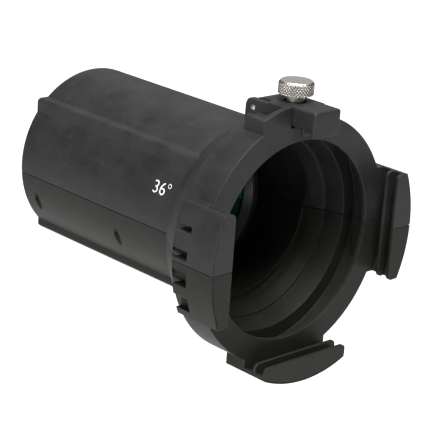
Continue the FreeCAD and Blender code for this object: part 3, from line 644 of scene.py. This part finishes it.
@dataclass
class ThumbScrew:
    """Knurled thumb screw with its shoulder and threaded stem."""

    palette: Palette
    axis_y: float = 6.0
    head_radius: float = 7.0
    head_bottom: float = 57.35
    head_top: float = 62.5
    bevel: float = 0.9
    low_bevel: float = 0.28
    neck_radius: float = 3.5
    neck_bottom: float = 54.32
    stem_radius: float = 2.0
    neck_bevel: float = 0.25
    neck_flare: float = 0.3
    top_drop: float = 0.06
    top_round: float = 0.05
    stem_bottom: float = 45.1
    stem_relief: float = 0.05
    tip_inset: float = 0.45
    tip_height: float = 0.4
    pitch: float = 0.7
    thread_depth: float = 0.32
    diamonds: int = 34
    thread_top: float = 50.0
    stem_overlap: float = 0.1
    diamond_height: float = 1.40
    knurl_depth: float = 0.45
    faces_a_diamond: int = 8
    rows: int = 24

    def outline(self) -> list[tuple[float, float]]:
        """Outline from the tip of the stem to the middle of the head, as (height, radius)."""
        low, high = self.head_bottom + self.low_bevel, self.head_top - self.bevel
        band = [(low + (high - low) * i / self.rows, self.head_radius) for i in range(self.rows + 1)]
        top = self.head_radius - self.bevel
        return [(self.neck_bottom, 0.0),
                (self.neck_bottom, self.neck_radius - self.neck_bevel),
                (self.neck_bottom + self.neck_bevel, self.neck_radius),
                (self.head_bottom - self.neck_flare, self.neck_radius),
                (self.head_bottom, self.neck_radius + self.neck_flare),
                (self.head_bottom, self.head_radius - self.low_bevel), *band,
                (self.head_top - self.top_drop, top + self.top_round),
                (self.head_top, top - self.top_round),
                (self.head_top, 0.5 * top), (self.head_top, 0.0)]

    def knurl(self, piece: Piece) -> None:
        """Press the diamonds into the head's side."""
        low, high = self.head_bottom + self.low_bevel, self.head_top - self.bevel
        for vert in piece.mesh.verts:
            radius = math.hypot(vert.co.x, vert.co.y - self.axis_y * MM)
            height = vert.co.z / MM
            in_band = low - NEAR / MM <= height <= high + NEAR / MM
            if abs(radius - self.head_radius * MM) > NEAR or not in_band:
                continue
            around = math.atan2(vert.co.y - self.axis_y * MM, vert.co.x) / (2 * math.pi) * self.diamonds
            up = (height - low) / self.diamond_height
            ridges = [abs((around + sign * up) % 1.0 - 0.5) * 2.0 for sign in (1, -1)]
            depth = self.knurl_depth * (1.0 - min(ridges[0], ridges[1]))
            scale = 1.0 - depth / self.head_radius
            vert.co.x *= scale
            vert.co.y = self.axis_y * MM + (vert.co.y - self.axis_y * MM) * scale

    def thread(self) -> list[tuple[float, float]]:
        """Outline of the stem with its thread crests, as (height, radius)."""
        root = self.stem_radius - self.thread_depth
        plain = self.stem_radius - self.stem_relief
        inside_neck = self.neck_bottom + self.stem_overlap
        points = [(self.stem_bottom, 0.0), (self.stem_bottom, self.stem_radius - self.tip_inset)]
        height = self.stem_bottom + self.tip_height
        while height < self.thread_top:
            points += [(height, self.stem_radius), (height + self.pitch / 2, root)]
            height += self.pitch
        return points + [(self.thread_top + self.pitch, plain), (inside_neck, plain),
                         (inside_neck, 0.0)]

    def build(self) -> bpy.types.Object:
        """Make the screw."""
        centre = Vector((0, self.axis_y * MM, 0))
        piece = Piece("knurled_thumb_screw")
        piece.spin(self.outline(), self.diamonds * self.faces_a_diamond, Z, centre, X, False)
        self.knurl(piece)
        stem = Piece("stem")
        stem.spin(self.thread(), 40, Z, centre, X, False)
        data = bpy.data.meshes.new("stem")
        stem.mesh.to_mesh(data)
        stem.mesh.free()
        piece.mesh.from_mesh(data)
        bmesh.ops.recalc_face_normals(piece.mesh, faces=piece.mesh.faces)
        return settle(piece.publish(angle=12.0), self.palette.of(Finish.NICKEL), "screw",
                      ("thumb_screw",))


@dataclass
class RetainingRing:
    """Black ring that holds the front lens, with two notches for a spanner."""

    palette: Palette
    front: float = 50.2
    back: float = 54.0
    outer: float = 28.1
    cone: float = 27.2
    bore: float = 23.9
    land: float = 0.8
    lip: float = 0.5
    lip_slope: float = 0.15
    edge: float = 0.12
    notch: float = 1.6
    notch_depth: float = 1.2
    notch_length: float = 70.0
    steps: int = 160

    def build(self) -> bpy.types.Object:
        """Make the ring."""
        piece = Piece("front_retaining_ring_turned")
        piece.spin([(self.front, self.cone), (self.front, self.outer), (self.back, self.outer),
                    (self.back, self.bore), (self.back - self.land, self.bore),
                    (self.front + self.lip, self.cone - self.lip_slope)],
                   self.steps, Y, Vector(), X, True)
        piece.soften(self.edge)
        cutter = Piece("notches")
        size = Matrix.Diagonal((self.notch * MM, 2 * self.notch_depth * MM,
                                self.notch_length * MM, 1.0))
        bmesh.ops.create_cube(cutter.mesh, size=1.0,
                              matrix=Matrix.Translation((0, self.front * MM, 0)) @ size)
        piece.carve(cutter)
        return settle(piece.publish(), self.palette.of(Finish.BLACK_METAL), "root",
                      ("front_retaining_ring",))


@dataclass
class HingePin:
    """Steel pin of the latch, with domed ends."""

    palette: Palette
    axis_y: float = 18.3
    axis_z: float = 50.2
    radius: float = 1.25
    half: float = 10.25
    dome: float = 0.35
    crown: float = 0.05
    steps: int = 48

    def build(self) -> bpy.types.Object:
        """Make the pin."""
        end = [(self.half, 0.0), (self.half - self.crown, self.radius / 2),
               (self.half - self.dome, self.radius)]
        outline = [(-along, radius) for along, radius in end] + end[::-1]
        piece = Piece("latch_hinge_pin_domed")
        centre = Vector((0, self.axis_y * MM, self.axis_z * MM))
        piece.spin(outline, self.steps, X, centre, Z, False)
        return settle(piece.publish(angle=60.0), self.palette.of(Finish.STEEL), "root",
                      ("latch_hinge_pin",))


# ---- stage ----------------------------------------------------------------------------------

@dataclass(frozen=True)
class Lamp:
    """Square soft light: where it hangs, what it points at, its side and its power in watts."""

    name: str
    place: Triple
    target: Triple
    size: float
    power: float

    def hang(self) -> None:
        """Put the light in the scene."""
        data = bpy.data.lights.new(self.name, "AREA")
        data.shape = "SQUARE"
        data.size = self.size
        data.energy = self.power
        lamp = bpy.data.objects.new(self.name, data)
        lamp.location = self.place
        aim = Vector(self.target) - Vector(self.place)
        lamp.rotation_euler = aim.to_track_quat("-Z", "Y").to_euler()
        bpy.context.scene.collection.objects.link(lamp)


@dataclass
class Stage:
    """Pale floor, soft lights and the camera."""

    LAMPS = (
        Lamp("key", (-0.40, -0.40, 1.5), (0, 0.05, 0), 0.9, 64.0),
        Lamp("back", (1.7, 1.7, 0.8), (0.2, 0.2, 0), 1.5, 0.8),
        Lamp("backdrop", (1.2, 1.2, 1.3), (1.9, 1.9, -0.2), 1.2, 34.0),
        Lamp("side", (-1.3, -0.1, 0.45), (0, 0.05, 0), 0.9, 4.6),
    )

    floor_height: float = -0.30
    floor_size: float = 12.0
    floor_colour: Colour = (0.84, 0.84, 0.84)
    surroundings: float = 0.19
    camera_place: Triple = (-0.45884, -0.42458, 0.21806)
    lens: float = 141.08
    sensor: float = 36.0
    nearest: float = 0.01
    heading: float = 44.482
    dip: float = 18.701
    roll: float = 4.19

    def floor(self) -> None:
        """Lay the floor."""
        piece = Piece("floor")
        bmesh.ops.create_grid(piece.mesh, x_segments=1, y_segments=1, size=self.floor_size / 2,
                              matrix=Matrix.Translation((0, 0, self.floor_height)))
        graph = Graph("pale floor")
        graph.dress(Base_Color=self.floor_colour, Roughness=0.9)
        floor = piece.publish(smooth=False)
        floor.data.materials.append(graph.material)

    def world(self) -> None:
        """Light the surroundings evenly."""
        world = bpy.data.worlds.new("studio")
        world.use_nodes = True
        world.node_tree.nodes["Background"].inputs["Color"].default_value = (1.0, 1.0, 1.0, 1.0)
        world.node_tree.nodes["Background"].inputs["Strength"].default_value = self.surroundings
        bpy.context.scene.world = world

    def camera(self) -> None:
        """Set up the camera."""
        data = bpy.data.cameras.new("camera")
        data.lens = self.lens
        data.sensor_width = self.sensor
        data.clip_start = self.nearest
        camera = bpy.data.objects.new("camera", data)
        turn = Matrix.Rotation(-math.radians(self.heading), 4, "Z")
        tilt = Matrix.Rotation(math.radians(90.0 - self.dip), 4, "X")
        spin = Matrix.Rotation(math.radians(self.roll), 4, "Z")
        camera.matrix_world = Matrix.Translation(self.camera_place) @ turn @ tilt @ spin
        bpy.context.scene.collection.objects.link(camera)
        bpy.context.scene.camera = camera

    def build(self) -> None:
        """Make the floor, lights and camera."""
        self.camera()
        self.floor()
        self.world()
        for lamp in self.LAMPS:
            lamp.hang()
        bpy.context.scene.view_settings.view_transform = "Standard"


def main() -> None:
    """Build the stage and every sub-assembly."""
    logging.basicConfig(level=logging.INFO, format="%(message)s")
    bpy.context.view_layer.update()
    Stage().build()
    palette = Palette()
    casing = Casing(palette)
    casing.dress()
    casing.mark()
    ThumbScrew(palette).build()
    RetainingRing(palette).build()
    HingePin(palette).build()


if __name__ == "__main__":
    main()
